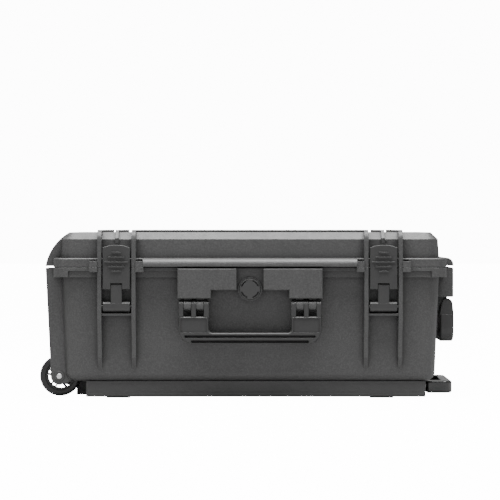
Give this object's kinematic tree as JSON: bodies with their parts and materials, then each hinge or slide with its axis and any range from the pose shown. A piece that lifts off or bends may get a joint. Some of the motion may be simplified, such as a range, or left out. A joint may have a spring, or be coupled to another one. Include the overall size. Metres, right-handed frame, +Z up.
{
  "type": "drone carrying case",
  "caption": "Wheeled hard drone case with hinged lid, toggle latches, folding carry handles, pull-out trolley handle, pressure valve and foam pockets.",
  "frame": {"origin": "centre of the footprint, on the plane under the feet", "axes": "+X from the wheels towards the trolley grip, -Y towards the latches and front handle, +Z up"},
  "size_m": [0.5751, 0.3458, 0.2303],
  "materials": {
    "shell_plastic": "moulded with a fine pebble grain",
    "latch_plastic": "smooth satin moulding",
    "handle_plastic": "smooth satin moulding",
    "tray_plastic": "fine grain",
    "collar_plastic": "satin",
    "grip_plastic": "polished",
    "button_plastic": "polished",
    "foam": "open-cell foam",
    "seal_rubber": "soft matt",
    "valve_plastic": "satin",
    "membrane": "porous film",
    "tyre_rubber": "satin",
    "rim_plastic": "satin",
    "bush_brass": "turned",
    "bolt_steel": "bright zinc",
    "pin_steel": "blackened",
    "tube_aluminium": "anodised",
    "foot_plastic": "hard rubber"
  },
  "bodies": {
    "base": {"base_shell": "shell_plastic", "tub_padlock_ears": "shell_plastic", "base_foam": "foam", "foam_floor": "foam", "valve_body": "valve_plastic", "valve_cap": "valve_plastic", "valve_membrane": "membrane", "valve_nut": "valve_plastic", "valve_oring": "seal_rubber", "trolley_tray": "tray_plastic", "tray_feet": "foot_plastic", "tray_screws": "bolt_steel", "front_outer_tube": "tube_aluminium", "rear_outer_tube": "tube_aluminium", "front_tube_collar": "collar_plastic", "rear_tube_collar": "collar_plastic", "axle_bolts": "bolt_steel", "axle_nuts": "bolt_steel", "left_hinge_pin": "pin_steel", "right_hinge_pin": "pin_steel", "left_link_pin": "pin_steel", "right_link_pin": "pin_steel", "front_handle_pins": "pin_steel", "side_handle_pins": "pin_steel"},
    "lid": {"lid_shell": "shell_plastic", "lid_padlock_ears": "shell_plastic", "lid_gasket": "seal_rubber", "lid_foam": "foam"},
    "left_link": {"left_latch_link": "latch_plastic", "left_lever_pin": "pin_steel"},
    "left_lever": {"left_latch_lever": "latch_plastic"},
    "right_link": {"right_latch_link": "latch_plastic", "right_lever_pin": "pin_steel"},
    "right_lever": {"right_latch_lever": "latch_plastic"},
    "front_handle": {"front_handle": "handle_plastic"},
    "side_handle": {"side_handle": "handle_plastic"},
    "front_wheel": {"front_wheel_rim": "rim_plastic", "front_wheel_tyre": "tyre_rubber", "front_wheel_bush": "bush_brass"},
    "rear_wheel": {"rear_wheel_rim": "rim_plastic", "rear_wheel_tyre": "tyre_rubber", "rear_wheel_bush": "bush_brass"},
    "trolley_middle": {"front_middle_tube": "tube_aluminium", "rear_middle_tube": "tube_aluminium"},
    "trolley_top": {"front_inner_tube": "tube_aluminium", "rear_inner_tube": "tube_aluminium", "trolley_grip": "grip_plastic"},
    "trolley_button": {"release_button": "button_plastic"}
  },
  "joints": [
    {"name": "lid_hinge", "type": "hinge", "parent": "base", "child": "lid", "pos_m": [0, 0.1665, 0.17935], "axis": [-1, 0, 0], "range_deg": [0, 100]},
    {"name": "left_link_hinge", "type": "hinge", "parent": "base", "child": "left_link", "pos_m": [-0.1814, -0.1602, 0.1258], "axis": [1, 0, 0], "range_deg": [0, 80]},
    {"name": "left_lever_hinge", "type": "hinge", "parent": "left_link", "child": "left_lever", "pos_m": [-0.1814, -0.1638, 0.1539], "axis": [1, 0, 0], "range_deg": [0, 95]},
    {"name": "right_link_hinge", "type": "hinge", "parent": "base", "child": "right_link", "pos_m": [0.1814, -0.1602, 0.1258], "axis": [1, 0, 0], "range_deg": [0, 80]},
    {"name": "right_lever_hinge", "type": "hinge", "parent": "right_link", "child": "right_lever", "pos_m": [0.1814, -0.1638, 0.1539], "axis": [1, 0, 0], "range_deg": [0, 95]},
    {"name": "front_handle_hinge", "type": "hinge", "parent": "base", "child": "front_handle", "pos_m": [0, -0.1633, 0.1276], "axis": [-1, 0, 0], "range_deg": [0, 95]},
    {"name": "side_handle_hinge", "type": "hinge", "parent": "base", "child": "side_handle", "pos_m": [0.2737, 0, 0.1276], "axis": [0, -1, 0], "range_deg": [0, 95]},
    {"name": "front_wheel_spin", "type": "hinge", "parent": "base", "child": "front_wheel", "pos_m": [-0.2615, -0.11, 0.0295], "axis": [0, 1, 0], "continuous": true},
    {"name": "rear_wheel_spin", "type": "hinge", "parent": "base", "child": "rear_wheel", "pos_m": [-0.2615, 0.11, 0.0295], "axis": [0, 1, 0], "continuous": true},
    {"name": "trolley_lower_slide", "type": "slide", "parent": "base", "child": "trolley_middle", "axis": [1, 0, 0], "range_m": [0, 0.36]},
    {"name": "trolley_upper_slide", "type": "slide", "parent": "trolley_middle", "child": "trolley_top", "axis": [1, 0, 0], "range_m": [0, 0.36]},
    {"name": "release_push", "type": "slide", "parent": "trolley_top", "child": "trolley_button", "axis": [-1, 0, 0], "range_m": [0, 0.0025], "stiffness_N_per_m": 400}
  ]
}
